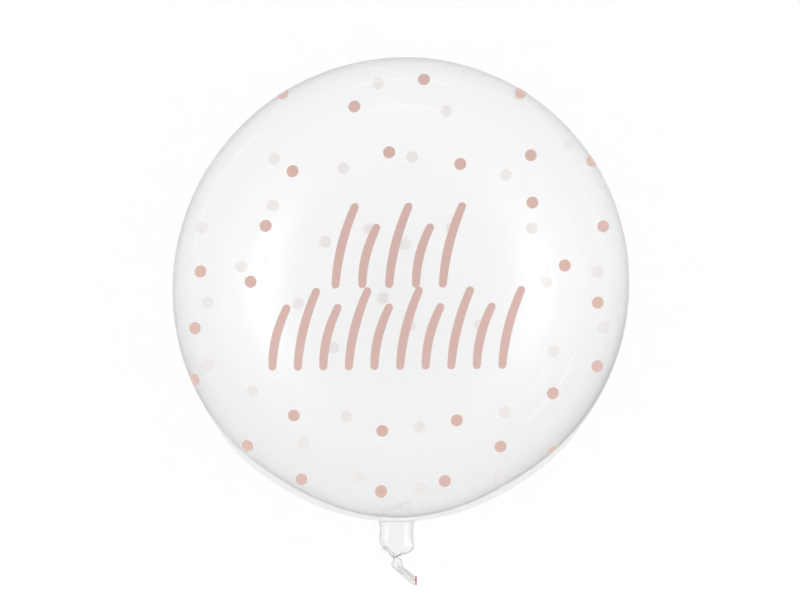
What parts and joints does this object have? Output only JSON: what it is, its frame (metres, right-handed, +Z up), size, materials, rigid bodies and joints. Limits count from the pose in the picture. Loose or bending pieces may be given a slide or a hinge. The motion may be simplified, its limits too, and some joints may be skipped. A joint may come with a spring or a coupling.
{
  "type": "clear bubble balloon",
  "caption": "Round clear film balloon with printed confetti dots, a welded filling neck knotted shut and a short flat tail, lying on its back.",
  "frame": {"origin": "middle of the flat spot under the bubble, where the balloon rests on a surface", "axes": "+Z up towards the printed side, +Y along the balloon's long axis away from its neck, +X to the right of the print"},
  "size_m": [0.3991, 0.4603, 0.3985],
  "materials": {
    "bubble_film": "clear glossy stretched film with flat rose-gold printed dots and strokes",
    "neck_film": "clear glossy film, gathered and creased towards the knot"
  },
  "bodies": {
    "root": {"bubble": "bubble_film", "neck": "neck_film"}
  },
  "joints": []
}
